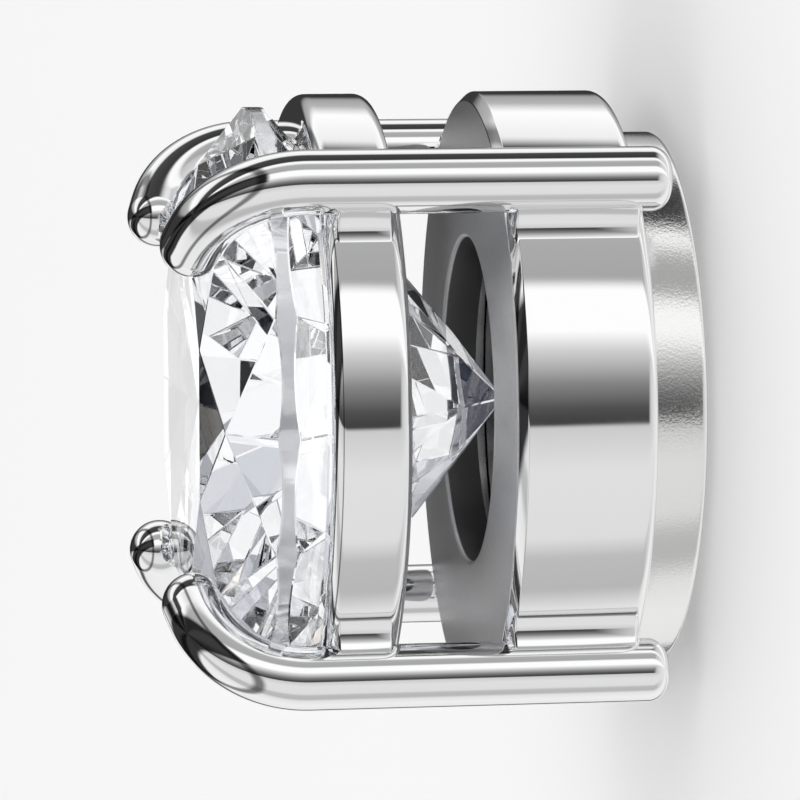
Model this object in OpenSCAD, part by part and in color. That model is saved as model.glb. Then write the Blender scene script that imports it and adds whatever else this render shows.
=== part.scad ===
// Magnetic stud earring. A round brilliant stone sits in a four-prong setting, whose base cup holds a
// magnet. A second, round magnet lies against the cup from behind and pulls straight off it, so that the
// earlobe is held between the two. All sizes are in millimetres.
// The earring stands on its back magnet: z = 0 is the rear face of that magnet, the axis of the stone
// is the Z axis, and the stone's table faces +Z. The prongs stand midway between the X and Y axes.

/* [Stone] */
// Diameter of the stone at its girdle
stone_d = 8; // [7.9:0.01:8.05]
// Width of the table from flat to flat, as a share of the stone's diameter
table_share = 0.595; // [0.56:0.005:0.62]
// Distance of the star facets' tips from the axis, as a share of the stone's radius
star_share = 0.81; // [0.79:0.005:0.83]
// Slope of the eight kite facets of the crown, in degrees
crown_angle = 30.5; // [29.5:0.5:32]
// Slope of the eight main facets of the pavilion, in degrees
pavilion_angle = 39.4; // [39.2:0.1:40.2]
// How far the lower half facets reach from the girdle to the culet, as a share of the radius
lower_half_share = 0.77; // [0.7:0.01:0.82]
// Thickness of the girdle where the mains touch it
girdle_t = 0.29; // [0.24:0.01:0.32]
// Height of the girdle's lower edge above the resting face
girdle_z = 5.36; // [5.34:0.01:5.4]

/* [Cup] */
// Outer diameter of the base cup
cup_d = 8.38; // [8.3:0.02:8.46]
// Height of the base cup
cup_h = 1.83; // [1.8:0.01:1.9]
// Thickness of the cup's front wall
cup_face_t = 0.5; // [0.4:0.01:0.55]
// Diameter of the round window in the cup's front wall
cup_window_d = 4.42; // [4.2:0.02:4.8]
// Diameter of the cup's magnet pocket, which is open to the rear
cup_bore_d = 6.8; // [6.76:0.02:7]

/* [Gallery band] */
// Outer diameter of the gallery band
band_d = 8.34; // [8.3:0.02:8.4]
// Height of the gallery band
band_h = 1.04; // [0.9:0.02:1.1]
// Inner diameter of the gallery band
band_bore_d = 7; // [6.9:0.02:7.1]
// Height of the band's lower edge above the resting face
band_z = 3.93; // [3.88:0.01:3.96]

/* [Prongs] */
// Diameter of the prong wire
wire_d = 0.84; // [0.8:0.01:0.88]
// Distance of the prong shafts from the axis
prong_reach = 4.55; // [4.53:0.01:4.57]
// Height of the rounded rear ends of the prongs
prong_rear_z = 0.45; // [0.3:0.01:0.6]
// Radius of the bend at the wire's centre line
bend_r = 1.4; // [1.2:0.05:1.5]
// Distance of the claw tips' centres from the axis
claw_reach = 3.33; // [3.28:0.01:3.38]
// Height of the claw tips' centres above the stone's table
claw_lift = 0.08; // [0.06:0.01:0.14]
// Radius of the solder fillets between the prongs and the cup and band
solder_r = 0.45; // [0.35:0.01:0.55]

/* [Magnets] */
// Diameter of the back magnet
back_d = 7.24; // [7:0.02:7.6]
// Thickness of the back magnet
back_t = 0.72; // [0.68:0.01:0.75]
// Diameter of the magnet in the cup
cup_magnet_d = 6.72; // [6.6:0.02:6.72]
// Thickness of the magnet in the cup
cup_magnet_t = 0.98; // [0.9:0.01:1]

/* [Hidden] */
$fn = 96;

// Free space between the two halves of the earring at rest, and round the magnet in its pocket
rest_gap = 0.03;
// Free space between the stone and the metal that holds it
stone_gap = 0.05;
// How far the mains' planes stand out beyond their neighbours' corners, which keeps the facets' tips apart
facet_play = 0.004;
// Least width of the band's seat
seat_min = 0.02;
// How far the cup magnet lies inside the cup's rear rim
magnet_recess = 0.02;
// How far the solder fillets are sunk into the two surfaces that they join
solder_sink = 0.02;

// Roundings and chamfers
cup_round = 0.16;
cup_chamfer = 0.12;
window_chamfer = 0.06;
band_round = 0.2;
prong_round = 0.26;
back_chamfer = 0.08;
magnet_chamfer = 0.05;
arc_steps = 5;

prongs = 4;
mains = 8;
facet_step = 360 / mains;

stone_r = stone_d / 2;
cup_r = cup_d / 2;
band_r = band_d / 2;
band_bore_r = band_bore_d / 2;
wire_r = wire_d / 2;

// Outline of the stone in its main planes, as radii and as heights
table_flat_r = table_share * stone_r;
table_corner_r = table_flat_r / cos(facet_step / 2);
star_r = star_share * stone_r;
crown_z = girdle_z + girdle_t;
table_z = crown_z + (stone_r - table_corner_r) * tan(crown_angle);
star_z = table_z - (star_r * cos(facet_step / 2) - table_corner_r) * tan(crown_angle);
culet_z = girdle_z - stone_r * tan(pavilion_angle);

// Slopes of the facets that follow from the points where three facets meet
chord_r = stone_r * cos(facet_step / 4);
star_slope = atan((table_z - star_z - 2 * facet_play) / (star_r - table_flat_r));
upper_half_slope = atan((star_z - crown_z) / (chord_r - star_r * cos(facet_step / 4)));
lower_tip_r = (1 - lower_half_share) * stone_r;
lower_tip_z = culet_z + lower_tip_r * cos(facet_step / 2) * tan(pavilion_angle);
lower_half_slope = atan((girdle_z - lower_tip_z) / (chord_r - lower_tip_r * cos(facet_step / 4)));

cup_z = back_t + rest_gap;
cup_top_z = cup_z + cup_h;
band_top_z = band_z + band_h;

// Centre line of a prong: shaft, bend and claw. The claw rises 7 for every 24 that it runs inward, and the
// bend starts at a height rounded to a hundredth, so that the pieces' ends meet exactly.
claw_rise = 0.28;
claw_run = 0.96;
bend_angle = atan2(claw_run, claw_rise);
claw_l = (prong_reach - bend_r * (1 - claw_rise) - claw_reach) / claw_run;
bend_z = round((table_z + claw_lift - claw_l * claw_rise - bend_r * claw_run) * 100) / 100;

// Points along an arc of radius r about c, from angle a0 to angle a1
function arc(c, r, a0, a1) =
    [for (i = [0:arc_steps]) let (a = a0 + (a1 - a0) * i / arc_steps) c + r * [cos(a), sin(a)]];

// Radius of the stone's pavilion at height z, widened by a clearance square to its slope
function pavilion_r(z, clear) =
    stone_r - (girdle_z - z) / tan(pavilion_angle) + clear / sin(pavilion_angle);

// Height at which a facet's plane, falling outward by slope degrees from height z at radius r, meets the axis
function apex_z(slope, r, z) = z + r * tan(slope);

// Section of a bar with two crown facets above and two pavilion facets below, as a four-sided outline.
// The apexes are the heights at which the facets' planes meet the axis.
function bar_outline(top_slope, top_apex, low_slope, low_apex) =
    let (
        edge_r = (top_apex - low_apex) / (tan(top_slope) + tan(low_slope)),
        edge_z = top_apex - edge_r * tan(top_slope)
    )
    [[0, low_apex], [edge_r, edge_z], [0, top_apex], [-edge_r, edge_z]];

// A long bar of the given section that lies across the axis, with its two sides facing the azimuth and
// away from it
module bar(azimuth, outline) {
    rotate([90, 0, azimuth])
        linear_extrude(3 * stone_d, center = true)
            polygon(outline);
}

// The stone is what a round blank and three sets of crossed bars have in common, so that each pair of
// opposite facets is two sides of one bar
module stone() {
    star_apex = apex_z(star_slope, table_flat_r, table_z);
    main_outline = bar_outline(
        crown_angle, apex_z(crown_angle, table_corner_r, table_z) + facet_play,
        pavilion_angle, culet_z - facet_play
    );
    half_outline = bar_outline(
        upper_half_slope, apex_z(upper_half_slope, chord_r, crown_z),
        lower_half_slope, apex_z(-lower_half_slope, chord_r, girdle_z)
    );
    star_outline = [
        [0, star_apex],
        [stone_d, star_apex - stone_d * tan(star_slope)],
        [stone_d, -stone_d],
        [-stone_d, -stone_d],
        [-stone_d, star_apex - stone_d * tan(star_slope)]
    ];
    color("aliceblue")
        intersection() {
            cylinder(r = stone_r, h = table_z);
            intersection_for (i = [0:mains / 2 - 1])
                bar(i * facet_step, star_outline);
            intersection_for (i = [0:mains / 2 - 1])
                bar((i + 0.5) * facet_step, main_outline);
            intersection_for (i = [0:mains - 1])
                bar((i + 0.5) * facet_step / 2, half_outline);
        }
}

// Base cup, closed in front but for its window, with a rounded rear rim and a chamfered front rim
module cup() {
    window_r = cup_window_d / 2;
    bore_r = cup_bore_d / 2;
    rotate_extrude()
        polygon(concat(
            [[bore_r, cup_z]],
            arc([cup_r - cup_round, cup_z + cup_round], cup_round, -90, 0),
            [
                [cup_r, cup_top_z - cup_chamfer],
                [cup_r - cup_chamfer, cup_top_z],
                [window_r + window_chamfer, cup_top_z],
                [window_r, cup_top_z - window_chamfer],
                [window_r, cup_top_z - cup_face_t],
                [bore_r, cup_top_z - cup_face_t]
            ]
        ));
}

// Gallery band with rounded outer edges, and a seat inside its upper edge that runs along the pavilion
module band() {
    seat_r = max(pavilion_r(band_top_z, stone_gap), band_bore_r + seat_min);
    seat_z = band_top_z - (seat_r - band_bore_r) * tan(pavilion_angle);
    rotate_extrude()
        polygon(concat(
            [[band_bore_r, seat_z], [band_bore_r, band_z]],
            arc([band_r - band_round, band_z + band_round], band_round, -90, 0),
            arc([band_r - band_round, band_top_z - band_round], band_round, 0, 90),
            [[seat_r, band_top_z]]
        ));
}

// The room that the stone needs among the claws, from below its girdle to above its table
module stone_room() {
    rotate_extrude()
        polygon([
            [0, girdle_z],
            [stone_r + stone_gap, girdle_z],
            [stone_r + stone_gap, crown_z + stone_gap],
            [star_r + stone_gap, star_z + stone_gap],
            [table_flat_r, table_z + stone_gap],
            [0, table_z + stone_gap]
        ]);
}

// One prong of round wire in the +X direction, with rounded edges at its rear end, bent over the stone to a
// round tip
module prong() {
    difference() {
        union() {
            translate([prong_reach, 0, prong_rear_z])
                rotate_extrude()
                    polygon(concat(
                        [[0, 0]],
                        arc([wire_r - prong_round, prong_round], prong_round, -90, 0),
                        [[wire_r, bend_z - prong_rear_z], [0, bend_z - prong_rear_z]]
                    ));
            translate([prong_reach - bend_r, 0, bend_z]) {
                rotate([90, 0, 0])
                    rotate_extrude(angle = bend_angle)
                        translate([bend_r, 0])
                            circle(wire_r);
                translate([bend_r * claw_rise, 0, bend_r * claw_run])
                    rotate([0, -bend_angle, 0]) {
                        cylinder(r = wire_r, h = claw_l);
                        translate([0, 0, claw_l])
                            sphere(wire_r);
                    }
            }
        }
        stone_room();
    }
}

// Solder in the corners between a round wall of radius r and the prong in the +X direction, from z0 to z1
module solder(r, z0, z1) {
    wall_d = r + solder_r - solder_sink;
    shaft_d = wire_r + solder_r - solder_sink;
    fillet_x = (wall_d * wall_d - shaft_d * shaft_d + prong_reach * prong_reach) / (2 * prong_reach);
    fillet_y = sqrt(wall_d * wall_d - fillet_x * fillet_x);
    root = (r - solder_r / 3) / wall_d;
    translate([0, 0, z0])
        linear_extrude(z1 - z0)
            difference() {
                polygon([
                    [fillet_x, fillet_y],
                    [fillet_x, -fillet_y],
                    [fillet_x, -fillet_y] * root,
                    [fillet_x, fillet_y] * root
                ]);
                for (side = [-1, 1])
                    translate([fillet_x, side * fillet_y])
                        circle(solder_r);
            }
}

// The setting is made with its first prong on the +X side, and then turned to bring the axes midway
module setting() {
    color("silver")
        rotate([0, 0, 180 / prongs]) {
            cup();
            band();
            for (i = [0:prongs - 1])
                rotate([0, 0, i * 360 / prongs]) {
                    prong();
                    solder(cup_r, cup_z + cup_round, cup_top_z - cup_chamfer);
                    solder(band_r, band_z + band_round, band_top_z - band_round);
                }
        }
}

// A round magnet whose edges are chamfered by c
module disc_magnet(d, t, c) {
    rotate_extrude()
        polygon([
            [0, 0],
            [d / 2 - c, 0],
            [d / 2, c],
            [d / 2, t - c],
            [d / 2 - c, t],
            [0, t]
        ]);
}

module cup_magnet() {
    color("gray")
        translate([0, 0, cup_z + magnet_recess])
            disc_magnet(cup_magnet_d, cup_magnet_t, magnet_chamfer);
}

module back_magnet() {
    color("darkgray")
        disc_magnet(back_d, back_t, back_chamfer);
}

stone();
setting();
cup_magnet();
back_magnet();
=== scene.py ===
"""Looks of a magnetic stud earring: a round brilliant stone held by four polished prongs over a magnet cup,
with a satin magnet back. Builds in millimetres, and scales each finished mesh to metres."""
import math

import bmesh
import bpy
from mathutils import Matrix, Vector


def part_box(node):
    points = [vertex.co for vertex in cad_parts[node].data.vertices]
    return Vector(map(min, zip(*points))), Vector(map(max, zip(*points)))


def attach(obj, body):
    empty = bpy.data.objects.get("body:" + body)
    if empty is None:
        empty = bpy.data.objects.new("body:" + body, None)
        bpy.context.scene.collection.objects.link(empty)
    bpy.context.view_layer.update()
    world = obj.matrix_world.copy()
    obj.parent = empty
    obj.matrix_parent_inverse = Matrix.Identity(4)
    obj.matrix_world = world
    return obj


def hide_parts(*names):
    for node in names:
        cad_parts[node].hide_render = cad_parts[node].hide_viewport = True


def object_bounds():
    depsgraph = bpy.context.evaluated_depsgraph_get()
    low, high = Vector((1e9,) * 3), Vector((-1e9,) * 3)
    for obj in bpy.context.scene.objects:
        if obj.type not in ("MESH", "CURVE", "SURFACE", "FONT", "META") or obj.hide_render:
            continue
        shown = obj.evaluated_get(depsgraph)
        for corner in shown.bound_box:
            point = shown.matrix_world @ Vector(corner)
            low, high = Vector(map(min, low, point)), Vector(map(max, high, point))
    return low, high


MM = 0.001

# Sizes of the solids that the boxes of the frame don't give, in millimetres
TABLE_SHARE = 0.595
STAR_SHARE = 0.81
CROWN_ANGLE = math.radians(30.5)
PAVILION_ANGLE = math.radians(39.4)
LOWER_HALF_SHARE = 0.77
GIRDLE_Z = 5.36
GIRDLE_T = 0.29
STONE_GAP = 0.05
CUP_R = 4.19
CUP_Z = 0.75
CUP_TOP_Z = 2.58
CUP_FACE_T = 0.5
CUP_WINDOW_R = 2.21
CUP_BORE_R = 3.4
BAND_Z = 3.93
BAND_TOP_Z = 4.97
BAND_R = 4.17
BAND_BORE_R = 3.5
WIRE_R = 0.42
PRONG_REACH = 4.55
CLAW_REACH = 3.33
CLAW_LIFT = 0.08
BEND_R = 1.4
CLAW_RISE = 0.28
CLAW_RUN = 0.96
SOLDER_R = 0.45

# Edges, in millimetres: the width of the stone's facet edges, and radii of rounded edges of the metal
FACET_EDGE = 0.015
CUP_REAR_ROUND = 0.16
CUP_BORE_ROUND = 0.03
CUP_WINDOW_ROUND = 0.06
BAND_ROUND = 0.2
BAND_BORE_ROUND = 0.05
FOOT_ROUND = 0.26
CUP_MAGNET_ROUND = 0.05
BACK_MAGNET_ROUND = 0.08

# The cup's front edge is a chamfer, both of whose own edges are rounded by an arc of 45 degrees. Each arc's
# centre lies the rounding in from one wall, and the reach in from the other.
CHAMFER_ROUND = 0.04
CHAMFER_REACH = 0.14
CUP_CHAMFER = 0.12

# How far the solder goes into the wall and the prong, and how far it runs out beyond its full height
SOLDER_SINK = 0.02
SOLDER_RUN = 0.1

# Least size of a solder fillet's end, as a share of its full section
SOLDER_END = 0.1

# How far below the girdle the stone's room begins, and how far below the crown a prong starts to be pressed
# clear of it
ROOM_BELOW = 1
PRESSED_BELOW = 0.6

# Counts of the meshes
LATHE_STEPS = 256
GIRDLE_STEPS = 128
WIRE_STEPS = 64
CAP_STEPS = 12
SHAFT_STEPS = 24
BEND_STEPS = 24
CLAW_STEPS = 20
FILLET_STEPS = 16
RUN_OUT_STEPS = 8
MAINS = 8
PRONGS = 4

# Least height of a level face's normal, and how near, in millimetres, a face lies to the cup's front or to its
# window's wall to count as part of it
LEVEL = 0.99
FRONT_NEAR = 0.01
WALL_NEAR = 0.001

# Distances in millimetres below which a point lies on the axis, and below which two points become one
ON_AXIS = 1e-6
MERGED = 1e-4

# Angles in degrees above which an edge stays sharp
FACET_SHARP = 4
TURNED_SHARP = 30
FILLET_SHARP = 40
WIRE_SHARP = 50

CROWN_Z = GIRDLE_Z + GIRDLE_T
FACET_STEP = 2 * math.pi / MAINS

# Names in the frame
STUD = "stud"
BACK = "back"


def polar(r, azimuth, z):
    return Vector((r * math.cos(azimuth), r * math.sin(azimuth), z))


def arc(centre, r, a0, a1, steps=10):
    """Points along an arc of radius r, from angle a0 to angle a1 in degrees."""
    points = []
    for i in range(steps + 1):
        a = math.radians(a0 + (a1 - a0) * i / steps)
        points.append((centre[0] + r * math.cos(a), centre[1] + r * math.sin(a)))
    return points


def mesh_object(name, points, faces, sharp_angle):
    """An object in metres from points in millimetres, smooth but for edges sharper than an angle in degrees."""
    mesh = bpy.data.meshes.new(name)
    mesh.from_pydata([p * MM for p in map(Vector, points)], [], faces)
    bm = bmesh.new()
    bm.from_mesh(mesh)
    bmesh.ops.recalc_face_normals(bm, faces=bm.faces)
    bm.to_mesh(mesh)
    bm.free()
    mesh.shade_smooth()
    mesh.set_sharp_from_angle(angle=math.radians(sharp_angle))
    obj = bpy.data.objects.new(name, mesh)
    bpy.context.scene.collection.objects.link(obj)
    return obj


def lathe(name, profile):
    """A closed outline of (radius, height) turned round the Z axis. Points on the axis become one point."""
    points = []
    rings = []
    for r, z in profile:
        if r < ON_AXIS:
            rings.append([len(points)] * LATHE_STEPS)
            points.append((0, 0, z))
            continue
        rings.append([len(points) + i for i in range(LATHE_STEPS)])
        points += [polar(r, 2 * math.pi * i / LATHE_STEPS, z) for i in range(LATHE_STEPS)]
    faces = []
    for ring, following in zip(rings, rings[1:] + rings[:1]):
        for i in range(LATHE_STEPS):
            j = (i + 1) % LATHE_STEPS
            corners = list(dict.fromkeys([ring[i], ring[j], following[j], following[i]]))
            if len(corners) > 2:
                faces.append(corners)
    return mesh_object(name, points, faces, TURNED_SHARP)


# The stone

def crown_corners(stone_r, table_z):
    """Radius of the table's corners, and radius and height of the star facets' tips."""
    table_corner_r = TABLE_SHARE * stone_r / math.cos(FACET_STEP / 2)
    star_r = STAR_SHARE * stone_r
    star_z = table_z - (star_r * math.cos(FACET_STEP / 2) - table_corner_r) * math.tan(CROWN_ANGLE)
    return table_corner_r, star_r, star_z


def brilliant(r, table_z, culet_z):
    """A round brilliant, each facet one flat face, built from the points where facets meet."""
    per_half = GIRDLE_STEPS // (2 * MAINS)
    table_corner_r, star_r, star_z = crown_corners(r, table_z)
    chord_r = r * math.cos(FACET_STEP / 4)
    upper_slope = (star_z - CROWN_Z) / (chord_r - star_r * math.cos(FACET_STEP / 4))
    tip_r = (1 - LOWER_HALF_SHARE) * r
    tip_z = culet_z + tip_r * math.cos(FACET_STEP / 2) * math.tan(PAVILION_ANGLE)
    lower_slope = (GIRDLE_Z - tip_z) / (chord_r - tip_r * math.cos(FACET_STEP / 4))

    points = []

    def add(p):
        points.append(p)
        return len(points) - 1

    corners = [add(polar(table_corner_r, (k + 0.5) * FACET_STEP, table_z)) for k in range(MAINS)]
    stars = [add(polar(star_r, k * FACET_STEP, star_z)) for k in range(MAINS)]
    tips = [add(polar(tip_r, k * FACET_STEP, tip_z)) for k in range(MAINS)]
    culet = add(Vector((0, 0, culet_z)))
    upper = []
    lower = []
    for i in range(GIRDLE_STEPS):
        azimuth = 2 * math.pi * i / GIRDLE_STEPS
        from_half = (azimuth % (FACET_STEP / 2)) - FACET_STEP / 4
        beyond = r * math.cos(from_half) - chord_r
        upper.append(add(polar(r, azimuth, CROWN_Z - beyond * upper_slope)))
        lower.append(add(polar(r, azimuth, GIRDLE_Z + beyond * lower_slope)))

    def along(ring, start):
        return [ring[(start + i) % GIRDLE_STEPS] for i in range(per_half + 1)]

    faces = [corners]
    for k in range(MAINS):
        star_at = k * 2 * per_half
        main_at = star_at + per_half
        following = (k + 1) % MAINS
        faces.append([corners[k - 1], stars[k], corners[k]])
        faces.append([corners[k], stars[k], upper[main_at], stars[following]])
        faces.append([stars[k]] + along(upper, star_at))
        faces.append([stars[following]] + along(upper, main_at))
        faces.append([culet, tips[k], lower[main_at], tips[following]])
        faces.append([tips[k]] + along(lower, star_at))
        faces.append([tips[following]] + along(lower, main_at))
    girdle_from = len(faces)
    for i in range(GIRDLE_STEPS):
        j = (i + 1) % GIRDLE_STEPS
        faces.append([upper[i], upper[j], lower[j], lower[i]])
    obj = mesh_object("brilliant_stone", points, faces, FACET_SHARP)
    girdle_slot = 1
    for polygon in obj.data.polygons[girdle_from:]:
        polygon.material_index = girdle_slot
    edge = obj.modifiers.new("facet_edges", "BEVEL")
    edge.width = FACET_EDGE * MM
    edge.segments = 1
    edge.limit_method = "ANGLE"
    edge.angle_limit = math.radians(FACET_SHARP)
    edge.harden_normals = False
    return obj


# The setting

def base_cup():
    """The cup, open to the rear. Its outside is polished and its front face satin. Its window's wall gets a
    darker copy of the satin silver, which is painted shade in the recess.
    """
    polished, satin, dark = range(3)
    profile = arc((CUP_BORE_R + CUP_BORE_ROUND, CUP_Z + CUP_BORE_ROUND), CUP_BORE_ROUND, 180, 270, 4)
    profile += arc((CUP_R - CUP_REAR_ROUND, CUP_Z + CUP_REAR_ROUND), CUP_REAR_ROUND, -90, 0)
    profile += arc((CUP_R - CHAMFER_ROUND, CUP_TOP_Z - CHAMFER_REACH), CHAMFER_ROUND, 0, 45, 4)
    profile += arc((CUP_R - CHAMFER_REACH, CUP_TOP_Z - CHAMFER_ROUND), CHAMFER_ROUND, 45, 90, 4)
    window_edge = (CUP_WINDOW_R + CUP_WINDOW_ROUND, CUP_TOP_Z - CUP_WINDOW_ROUND)
    profile += arc(window_edge, CUP_WINDOW_ROUND, 90, 180, 6)
    profile.append((CUP_WINDOW_R, CUP_TOP_Z - CUP_FACE_T))
    profile.append((CUP_BORE_R, CUP_TOP_Z - CUP_FACE_T))
    obj = lathe("base_cup", profile)
    for polygon in obj.data.polygons:
        r = math.hypot(polygon.center.x, polygon.center.y) / MM
        on_front = polygon.normal.z > LEVEL and polygon.center.z / MM > CUP_TOP_Z - FRONT_NEAR
        # The window's wall gets the darker copy of the satin silver: painted shade in the recess
        if r < CUP_WINDOW_R + WALL_NEAR:
            polygon.material_index = dark
        elif on_front or r < CUP_WINDOW_R + CUP_WINDOW_ROUND:
            polygon.material_index = satin
        else:
            polygon.material_index = polished
    return obj


def gallery_band(stone_r):
    """A ring with rounded edges and a seat inside its upper edge, parallel to the stone's pavilion."""
    clear = STONE_GAP / math.sin(PAVILION_ANGLE)
    seat_r = stone_r - (GIRDLE_Z - BAND_TOP_Z) / math.tan(PAVILION_ANGLE) + clear
    seat_z = BAND_TOP_Z - (seat_r - BAND_BORE_R) * math.tan(PAVILION_ANGLE)
    profile = [(BAND_BORE_R, seat_z)]
    profile += arc((BAND_BORE_R + BAND_BORE_ROUND, BAND_Z + BAND_BORE_ROUND), BAND_BORE_ROUND, 180, 270, 5)
    profile += arc((BAND_R - BAND_ROUND, BAND_Z + BAND_ROUND), BAND_ROUND, -90, 0)
    profile += arc((BAND_R - BAND_ROUND, BAND_TOP_Z - BAND_ROUND), BAND_ROUND, 0, 90)
    profile.append((seat_r, BAND_TOP_Z))
    return lathe("gallery_band", profile)


def prong_line(table_z, rear_z):
    """Centre line of a prong in its own plane: points (radius, height), leans in radians and wire radii."""
    claw_l = (PRONG_REACH - BEND_R * (1 - CLAW_RISE) - CLAW_REACH) / CLAW_RUN
    tip_z = table_z + CLAW_LIFT
    bend_z = tip_z - claw_l * CLAW_RISE - BEND_R * CLAW_RUN
    bend = math.atan2(CLAW_RUN, CLAW_RISE)
    foot = Vector((PRONG_REACH, rear_z + FOOT_ROUND))
    rows = [(Vector((PRONG_REACH, rear_z)), 0, 0)]
    for i in range(CAP_STEPS):
        a = math.pi / 2 * i / CAP_STEPS
        below = Vector((0, FOOT_ROUND * math.cos(a)))
        rows.append((foot - below, 0, WIRE_R - FOOT_ROUND * (1 - math.sin(a))))
    for i in range(SHAFT_STEPS):
        rows.append((foot.lerp(Vector((PRONG_REACH, bend_z)), i / SHAFT_STEPS), 0, WIRE_R))
    centre = Vector((PRONG_REACH - BEND_R, bend_z))
    for i in range(BEND_STEPS):
        a = bend * i / BEND_STEPS
        rows.append((centre + BEND_R * Vector((math.cos(a), math.sin(a))), a, WIRE_R))
    start = centre + BEND_R * Vector((math.cos(bend), math.sin(bend)))
    inward = Vector((-math.sin(bend), math.cos(bend)))
    for i in range(CLAW_STEPS):
        rows.append((start + inward * claw_l * i / CLAW_STEPS, bend, WIRE_R))
    tip = start + inward * claw_l
    for i in range(CAP_STEPS + 1):
        a = math.pi / 2 * i / CAP_STEPS
        rows.append((tip + inward * WIRE_R * math.sin(a), bend, WIRE_R * math.cos(a)))
    return rows


def clear_of_stone(r, z, outline):
    """Moves a point of a prong out of the stone's room, square to the nearest side of the room's outline."""
    nearest = None
    for (r0, z0), (r1, z1) in zip(outline, outline[1:]):
        side = Vector((r1 - r0, z1 - z0)).normalized()
        outward = Vector((side.y, -side.x))
        depth = (Vector((r, z)) - Vector((r0, z0))).dot(outward)
        if depth >= 0:
            return r, z
        if nearest is None or depth > nearest[0]:
            nearest = (depth, outward)
    depth, outward = nearest
    return r - depth * outward.x, z - depth * outward.y


def prong(number, azimuth, table_z, rear_z, stone_r):
    """One prong of round wire, its underside pressed flat along the crown."""
    _, star_r, star_z = crown_corners(stone_r, table_z)
    outline = [
        (stone_r + STONE_GAP, GIRDLE_Z - ROOM_BELOW),
        (stone_r + STONE_GAP, CROWN_Z + STONE_GAP),
        (star_r + STONE_GAP, star_z + STONE_GAP),
        (TABLE_SHARE * stone_r, table_z + STONE_GAP),
    ]
    points = []
    turn = Matrix.Rotation(azimuth, 3, "Z")
    rows = prong_line(table_z, rear_z)
    for centre, lean, r in rows:
        across = Vector((math.cos(lean), 0, math.sin(lean)))
        for i in range(WIRE_STEPS):
            a = 2 * math.pi * i / WIRE_STEPS
            p = Vector((centre.x, 0, centre.y)) + r * (math.cos(a) * across + math.sin(a) * Vector((0, 1, 0)))
            away = math.hypot(p.x, p.y)
            if p.z > CROWN_Z - PRESSED_BELOW:
                moved_r, moved_z = clear_of_stone(away, p.z, outline)
                p = Vector((p.x * moved_r / away, p.y * moved_r / away, moved_z))
            points.append(turn @ p)
    faces = []
    for k in range(len(rows) - 1):
        for i in range(WIRE_STEPS):
            j = (i + 1) % WIRE_STEPS
            a = k * WIRE_STEPS
            b = a + WIRE_STEPS
            faces.append([a + i, a + j, b + j, b + i])
    obj = mesh_object(f"prong_{number}", points, faces, WIRE_SHARP)

    # The first and the last ring are single points
    bm = bmesh.new()
    bm.from_mesh(obj.data)
    bmesh.ops.remove_doubles(bm, verts=bm.verts, dist=MERGED * MM)
    bm.to_mesh(obj.data)
    bm.free()
    return obj


def solder(name, azimuth, wall_r, z0, z1):
    """The two concave fillets of solder between a round wall and a prong. They run out beyond z0 and z1."""
    wall_d = wall_r + SOLDER_R - SOLDER_SINK
    shaft_d = WIRE_R + SOLDER_R - SOLDER_SINK
    x = (wall_d ** 2 - shaft_d ** 2 + PRONG_REACH ** 2) / (2 * PRONG_REACH)
    y = math.sqrt(wall_d ** 2 - x ** 2)
    shaft = Vector((PRONG_REACH, 0))
    wall_side = Vector((x, y)) * ((wall_r - SOLDER_SINK) / wall_d)
    shaft_side = shaft + (Vector((x, y)) - shaft).normalized() * (WIRE_R - SOLDER_SINK)
    a0 = math.atan2(wall_side.y - y, wall_side.x - x)
    a1 = math.atan2(shaft_side.y - y, shaft_side.x - x)
    if a0 > 0:
        a0 -= 2 * math.pi
    half = []
    for i in range(FILLET_STEPS + 1):
        a = a0 + (a1 - a0) * i / FILLET_STEPS
        half.append(Vector((x + SOLDER_R * math.cos(a), y + SOLDER_R * math.sin(a))))
    outline = half + [Vector((p.x, -p.y)) for p in reversed(half)]
    root = Vector(((wall_r ** 2 - WIRE_R ** 2 + PRONG_REACH ** 2) / (2 * PRONG_REACH), 0))
    levels = []
    for i in range(RUN_OUT_STEPS + 1):
        a = math.pi / 2 * i / RUN_OUT_STEPS
        levels.append((z0 - SOLDER_RUN * math.cos(a), max(math.sin(a), SOLDER_END)))
    levels += [(z0 + z1 - z, share) for z, share in reversed(levels)]
    turn = Matrix.Rotation(azimuth, 3, "Z")
    points = []
    for z, share in levels:
        for p in outline:
            q = root.lerp(p, share)
            points.append(turn @ Vector((q.x, q.y, z)))
    n = len(outline)
    faces = [list(range(n)), list(range((len(levels) - 1) * n, len(levels) * n))]
    for k in range(len(levels) - 1):
        for i in range(n):
            j = (i + 1) % n
            faces.append([k * n + i, k * n + j, (k + 1) * n + j, (k + 1) * n + i])
    return mesh_object(name, points, faces, FILLET_SHARP)


def disc(name, r, z0, z1, round_r):
    """A round magnet with rounded edges."""
    profile = [(0, z0)]
    profile += arc((r - round_r, z0 + round_r), round_r, -90, 0, 6)
    profile += arc((r - round_r, z1 - round_r), round_r, 0, 90, 6)
    profile.append((0, z1))
    return lathe(name, profile)


# Materials

# Refractive index of cubic zirconia
ZIRCONIA_IOR = 2.16

# Depths of a polished face's waviness and of a satin face's grain, in metres
WAVE_DEPTH = 0.004 * MM
GRAIN_DEPTH = 0.002 * MM


def material(name):
    """A new material, its nodes and links, and its shader."""
    mat = bpy.data.materials.new(name)
    mat.use_nodes = True
    nodes = mat.node_tree.nodes
    return mat, nodes, mat.node_tree.links, nodes["Principled BSDF"]


def object_noise(nodes, links, scale, detail, stretch=(1, 1, 1)):
    """Noise in the object's own coordinates, stretched along each axis."""
    place = nodes.new("ShaderNodeTexCoord")
    mapping = nodes.new("ShaderNodeMapping")
    mapping.inputs["Scale"].default_value = stretch
    noise = nodes.new("ShaderNodeTexNoise")
    noise.inputs["Scale"].default_value = scale
    noise.inputs["Detail"].default_value = detail
    links.new(place.outputs["Object"], mapping.inputs["Vector"])
    links.new(mapping.outputs["Vector"], noise.inputs["Vector"])
    return noise.outputs["Fac"]


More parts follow.
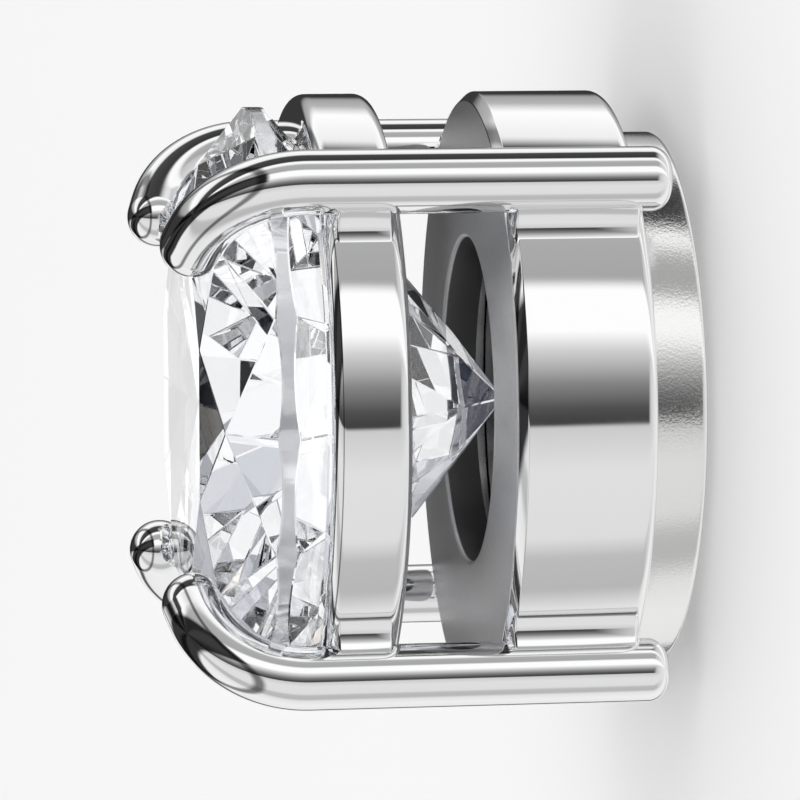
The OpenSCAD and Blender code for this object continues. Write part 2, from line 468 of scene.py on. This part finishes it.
def vary_roughness(nodes, links, shader, noise, low, high):
    """Maps a noise's middle range to a roughness from low to high."""
    ranged = nodes.new("ShaderNodeMapRange")
    ranged.inputs["From Min"].default_value = 0.3
    ranged.inputs["From Max"].default_value = 0.7
    ranged.inputs["To Min"].default_value = low
    ranged.inputs["To Max"].default_value = high
    links.new(noise, ranged.inputs["Value"])
    links.new(ranged.outputs["Result"], shader.inputs["Roughness"])


def bump(nodes, links, shader, height, depth):
    """Relief of the given depth in metres."""
    node = nodes.new("ShaderNodeBump")
    node.inputs["Strength"].default_value = 1.0
    node.inputs["Distance"].default_value = depth
    links.new(height, node.inputs["Height"])
    links.new(node.outputs["Normal"], shader.inputs["Normal"])


def polished_silver():
    """Mirror-polished rhodium plating with the faintest waviness and polishing haze."""
    mat, nodes, links, shader = material("polished_silver")
    shader.inputs["Metallic"].default_value = 1.0
    shader.inputs["Base Color"].default_value = (0.90, 0.90, 0.905, 1)
    haze = object_noise(nodes, links, scale=900, detail=6)
    vary_roughness(nodes, links, shader, haze, 0.035, 0.075)
    wave = object_noise(nodes, links, scale=420, detail=1)
    bump(nodes, links, shader, wave, WAVE_DEPTH)
    return mat


def satin_metal(name, tone, blue_share, low, high, grain_scale):
    """Metal with a fine grain and a roughness from low to high. Its blue is a share of its grey tone."""
    mat, nodes, links, shader = material(name)
    shader.inputs["Metallic"].default_value = 1.0
    shader.inputs["Base Color"].default_value = (tone, tone, tone * blue_share, 1)
    grain = object_noise(nodes, links, grain_scale, detail=3)
    vary_roughness(nodes, links, shader, grain, low, high)
    bump(nodes, links, shader, grain, GRAIN_DEPTH)
    return mat


def cup_silver(name, tone):
    """The cup's front face and window, left satin under the stone. A darker copy of it on the window's wall is
    painted shade.
    """
    return satin_metal(name, tone, 1.02, 0.38, 0.5, grain_scale=20000)


def nickel_plating(name, tone, low, high):
    """The magnets' plating. The cup's magnet gets a dark copy of it, which is painted shade deep in the cup."""
    return satin_metal(name, tone, 0.99, low, high, grain_scale=30000)


def cubic_zirconia():
    mat, nodes, links, shader = material("cubic_zirconia")
    shader.inputs["Base Color"].default_value = (0.985, 0.99, 1.0, 1)
    shader.inputs["Roughness"].default_value = 0.0
    shader.inputs["IOR"].default_value = ZIRCONIA_IOR
    shader.inputs["Transmission Weight"].default_value = 1.0
    return mat


def ground_girdle():
    """The stone's girdle, ground and half polished."""
    mat, nodes, links, shader = material("ground_girdle")
    shader.inputs["Base Color"].default_value = (0.86, 0.87, 0.90, 1)
    shader.inputs["IOR"].default_value = ZIRCONIA_IOR
    shader.inputs["Metallic"].default_value = 0.4
    shader.inputs["Transmission Weight"].default_value = 0.85
    grain = object_noise(nodes, links, scale=5000, detail=3, stretch=(1, 1, 0.25))
    vary_roughness(nodes, links, shader, grain, 0.06, 0.12)
    bump(nodes, links, shader, grain, GRAIN_DEPTH)
    return mat


def pale_floor():
    mat, nodes, links, shader = material("pale_floor")
    shader.inputs["Base Color"].default_value = (0.93, 0.93, 0.93, 1)
    shader.inputs["Roughness"].default_value = 0.7
    shader.inputs["Specular IOR Level"].default_value = 0.2
    return mat


# Stage

# What polished metal reflects: angle from the -Y side towards +X in degrees, and brightness
PANELS = [
    (-180, 0.04), (-170, 0.04), (-164, 0.9), (-152, 0.95), (-146, 0.12), (-138, 0.10), (-132, 0.9),
    (-100, 0.95), (-78, 0.85), (-68, 0.52), (-54, 0.55), (-46, 0.80), (-20, 0.82), (-4, 0.66),
    (-2.8, 0.05), (3, 0.09), (12, 0.26), (24, 0.70), (31, 1.1), (47, 1.1), (51, 0.42),
    (69, 0.46), (75, 1.05), (82, 1.1), (86, 0.04), (113, 0.07), (119, 0.95), (140, 1.1),
    (150, 0.5), (160, 0.38), (166, 0.04), (180, 0.04),
]

# How the panels fade with height: the sine of the elevation, and the share of the brightness that is left
HEIGHTS = [(-1.0, 1.0), (0.40, 1.0), (0.46, 0.25), (0.52, 0.25), (0.58, 1.0), (1.0, 1.0)]

# The least brightness that the pale ground gives from below: the sine of the elevation, and the brightness
GROUND_LIGHT = [(-1.0, 0.85), (-0.55, 0.60), (-0.30, 0.05), (-0.20, 0.0), (1.0, 0.0)]

# A dark overhead beam that crosses above the earring: its direction from the -Y side towards +X in degrees, its
# half width, lower edge and softness as sines, and its brightness
BEAM_ANGLE = 38
BEAM_WIDTH = 0.26
BEAM_FROM = 0.42
BEAM_SOFTNESS = 0.03
BEAM_TONE = 0.04

# What the stone gathers: the share of the patches that are darker than a tone, and that tone
PATCHES = [
    (0.0, (0.003, 0.004, 0.009)), (0.26, (0.02, 0.024, 0.045)), (0.34, (0.16, 0.17, 0.20)),
    (0.40, (0.50, 0.52, 0.56)), (0.48, (0.78, 0.80, 0.85)), (0.60, (1.2, 1.2, 1.2)),
    (0.985, (1.2, 1.13, 1.05)),
]
PATCH_OFFSET = (11.3, 12.4, 9.9)
PATCH_SCALE = 2.0

# How brightly the stone's own surface mirrors the patches: the sine of the elevation, and the brightness
SHEEN = [(0, 1), (0.22, 1), (0.40, 0.25), (1, 0.25)]

# What the eye and the floor see
SURROUNDINGS = (1.05, 1.05, 1.05, 1)

# The camera's place, in degrees from the -Y side towards +X and above the floor, its lens and the side of the
# square that it shows at the earring, in millimetres
CAMERA_AZIMUTH = 7
CAMERA_ELEVATION = 8.5
CAMERA_LENS = 200
CAMERA_SHOWS = 10.9

FLOOR_R = 400


def ramp(nodes, links, source, stops, interpolation="LINEAR"):
    """The tone that (position, grey value) or (position, colour) stops give for a source from 0 to 1."""
    node = nodes.new("ShaderNodeValToRGB")
    elements = node.color_ramp.elements
    elements.remove(elements[1])
    for k, (position, value) in enumerate(stops):
        stop = elements[0] if k == 0 else elements.new(position)
        stop.position = position
        stop.color = (*value, 1) if isinstance(value, tuple) else (value, value, value, 1)
    node.color_ramp.interpolation = interpolation
    links.new(source, node.inputs["Fac"])
    return node.outputs["Color"]


def maths(nodes, links, operation, first, second=None):
    node = nodes.new("ShaderNodeMath")
    node.operation = operation
    for socket, value in zip(node.inputs, (first, second)):
        if isinstance(value, (int, float)):
            socket.default_value = value
        elif value is not None:
            links.new(value, socket)
    return node.outputs[0]


def metal_light(nodes, links, x, y, z):
    """Soft panels round the Z axis, crossed by a dark beam overhead, above a pale ground."""
    towards = maths(nodes, links, "MULTIPLY", y, -1)
    angle = maths(nodes, links, "ARCTAN2", x, towards)
    turn = maths(nodes, links, "ADD", maths(nodes, links, "DIVIDE", angle, 2 * math.pi), 0.5)
    height = maths(nodes, links, "ADD", maths(nodes, links, "DIVIDE", z, 2), 0.5)
    panels = ramp(nodes, links, turn, [((a + 180) / 360, v) for a, v in PANELS])
    heights = ramp(nodes, links, height, [((s + 1) / 2, v) for s, v in HEIGHTS])
    ground = ramp(nodes, links, height, [((s + 1) / 2, v) for s, v in GROUND_LIGHT])
    across_x = maths(nodes, links, "MULTIPLY", x, math.cos(math.radians(BEAM_ANGLE)))
    across_y = maths(nodes, links, "MULTIPLY", y, math.sin(math.radians(BEAM_ANGLE)))
    away = maths(nodes, links, "ABSOLUTE", maths(nodes, links, "ADD", across_x, across_y))
    beside = ramp(nodes, links, away, [
        (0, BEAM_TONE), (BEAM_WIDTH - BEAM_SOFTNESS, BEAM_TONE), (BEAM_WIDTH + BEAM_SOFTNESS, 1)])
    below = ramp(nodes, links, z, [(0, 1), (BEAM_FROM - BEAM_SOFTNESS, 1), (BEAM_FROM + BEAM_SOFTNESS, 0)])
    beam = maths(nodes, links, "MAXIMUM", beside, below)
    light = maths(nodes, links, "MULTIPLY", maths(nodes, links, "MULTIPLY", panels, heights), beam)
    return maths(nodes, links, "MAXIMUM", light, ground)


def stone_light(nodes, links, direction):
    """Even patches of light and dark, each cell of a pattern one tone."""
    shifted = nodes.new("ShaderNodeVectorMath")
    shifted.inputs[1].default_value = PATCH_OFFSET
    links.new(direction, shifted.inputs[0])
    cells = nodes.new("ShaderNodeTexVoronoi")
    cells.feature = "F1"
    cells.inputs["Scale"].default_value = PATCH_SCALE
    links.new(shifted.outputs[0], cells.inputs["Vector"])
    chance = nodes.new("ShaderNodeSeparateColor")
    links.new(cells.outputs["Color"], chance.inputs[0])
    return ramp(nodes, links, chance.outputs["Red"], PATCHES, "CONSTANT")


def studio():
    """Plain white surroundings for the eye and the floor, in which metal meets soft panels and a dark beam over
    a pale ground. The stone meets patches of light and dark, fully bright in what it refracts, and dimmed
    overhead in what its surface mirrors."""
    world = bpy.data.worlds.new("studio")
    bpy.context.scene.world = world
    world.use_nodes = True
    nodes = world.node_tree.nodes
    links = world.node_tree.links
    nodes.clear()
    direction = nodes.new("ShaderNodeTexCoord").outputs["Generated"]
    split = nodes.new("ShaderNodeSeparateXYZ")
    links.new(direction, split.inputs[0])
    rays = nodes.new("ShaderNodeLightPath")

    surroundings = nodes.new("ShaderNodeBackground")
    surroundings.inputs["Color"].default_value = SURROUNDINGS
    for_metal = nodes.new("ShaderNodeBackground")
    links.new(metal_light(nodes, links, *split.outputs), for_metal.inputs["Color"])
    for_stone = nodes.new("ShaderNodeBackground")
    links.new(stone_light(nodes, links, direction), for_stone.inputs["Color"])
    sheen = ramp(nodes, links, split.outputs["Z"], SHEEN)
    brightness = maths(nodes, links, "MAXIMUM", sheen, rays.outputs["Is Transmission Ray"])
    links.new(brightness, for_stone.inputs["Strength"])

    shader = surroundings.outputs[0]
    for kind, light in (("Is Glossy Ray", for_metal), ("Is Singular Ray", for_stone)):
        choice = nodes.new("ShaderNodeMixShader")
        links.new(rays.outputs[kind], choice.inputs["Fac"])
        links.new(shader, choice.inputs[1])
        links.new(light.outputs[0], choice.inputs[2])
        shader = choice.outputs[0]
    out = nodes.new("ShaderNodeOutputWorld")
    links.new(shader, out.inputs["Surface"])


def floor():
    """A wide square on which the earring stands, kept out of its reflections and of what the stone refracts."""
    corners = [(-FLOOR_R, -FLOOR_R, 0), (FLOOR_R, -FLOOR_R, 0), (FLOOR_R, FLOOR_R, 0), (-FLOOR_R, FLOOR_R, 0)]
    obj = mesh_object("floor", corners, [[0, 1, 2, 3]], TURNED_SHARP)
    obj.data.materials.append(pale_floor())
    obj.visible_glossy = False
    obj.visible_transmission = False


def camera(low, high):
    """The photograph's side view, in which the stone's side of the axis points left."""
    azimuth = math.radians(CAMERA_AZIMUTH)
    elevation = math.radians(CAMERA_ELEVATION)
    centre = (low + high) / 2
    data = bpy.data.cameras.new("camera")
    data.lens = CAMERA_LENS
    data.sensor_width = 36
    distance = CAMERA_SHOWS * MM / data.sensor_width * data.lens
    back = Vector((
        math.sin(azimuth) * math.cos(elevation),
        -math.cos(azimuth) * math.cos(elevation),
        math.sin(elevation),
    ))
    up = Vector((1, 0, 0))
    up = (up - back * up.dot(back)).normalized()
    right = up.cross(back)
    obj = bpy.data.objects.new("camera", data)
    bpy.context.scene.collection.objects.link(obj)
    turn = Matrix((right, up, back)).transposed()
    obj.matrix_world = Matrix.Translation(centre + back * distance) @ turn.to_4x4()
    data.clip_start = distance / 100
    data.clip_end = distance * 100
    bpy.context.scene.camera = obj


def light_paths():
    """Bounces enough for the stone's facets, and tones shown as they are."""
    scene = bpy.context.scene
    scene.cycles.max_bounces = 32
    scene.cycles.transmission_bounces = 32
    scene.cycles.glossy_bounces = 12
    scene.cycles.diffuse_bounces = 3
    scene.view_settings.view_transform = "Standard"
    scene.view_settings.look = "None"


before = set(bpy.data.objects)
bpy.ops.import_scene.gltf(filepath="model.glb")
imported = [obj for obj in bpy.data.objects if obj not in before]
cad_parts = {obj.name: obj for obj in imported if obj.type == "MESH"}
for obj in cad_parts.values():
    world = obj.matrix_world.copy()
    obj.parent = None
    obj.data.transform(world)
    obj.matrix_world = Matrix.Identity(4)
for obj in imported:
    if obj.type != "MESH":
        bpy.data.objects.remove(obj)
cad_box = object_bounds()
light_paths()
camera(*cad_box)
studio()
floor()

stone_low, stone_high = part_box("stone")
setting_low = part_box("setting")[0]
back_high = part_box("back_magnet")[1]
cup_magnet_low, cup_magnet_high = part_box("cup_magnet")
stone_r = (stone_high.x - stone_low.x) / 2 / MM
table_z = stone_high.z / MM
culet_z = stone_low.z / MM
rear_z = setting_low.z / MM

silver = polished_silver()
stone = brilliant(stone_r, table_z, culet_z)
stone.data.materials.append(cubic_zirconia())
stone.data.materials.append(ground_girdle())
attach(stone, STUD)
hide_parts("stone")

metal = [base_cup(), gallery_band(stone_r)]
for k in range(PRONGS):
    azimuth = 2 * math.pi * (k + 0.5) / PRONGS
    metal.append(prong(k + 1, azimuth, table_z, rear_z, stone_r))
    for wall, r, z0, z1 in (
        ("cup", CUP_R, CUP_Z + CUP_REAR_ROUND, CUP_TOP_Z - CUP_CHAMFER),
        ("band", BAND_R, BAND_Z + BAND_ROUND, BAND_TOP_Z - BAND_ROUND),
    ):
        metal.append(solder(f"{wall}_solder_{k + 1}", azimuth, r, z0, z1))
for piece in metal:
    piece.visible_transmission = False
    piece.data.materials.append(silver)
    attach(piece, STUD)
metal[0].data.materials.append(cup_silver("satin_silver", 0.52))
# A darker copy of the satin silver for the window's wall: painted shade in the recess
metal[0].data.materials.append(cup_silver("window_wall_painted_shade", 0.20))
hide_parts("setting")

cup_magnet_r = cup_magnet_high.x / MM
cup_magnet_z = (cup_magnet_low.z / MM, cup_magnet_high.z / MM)
cup_disc = disc("cup_magnet_disc", cup_magnet_r, *cup_magnet_z, CUP_MAGNET_ROUND)
# The cup's magnet gets a dark copy of the nickel plating: painted shade deep inside the cup
cup_disc.data.materials.append(nickel_plating("cup_magnet_painted_shade", 0.22, 0.25, 0.4))
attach(cup_disc, STUD)
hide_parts("cup_magnet")

back_r = back_high.x / MM
back_disc = disc("back_magnet_disc", back_r, 0, back_high.z / MM, BACK_MAGNET_ROUND)
back_disc.data.materials.append(nickel_plating("satin_nickel", 0.86, 0.09, 0.2))
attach(back_disc, BACK)
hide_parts("back_magnet")
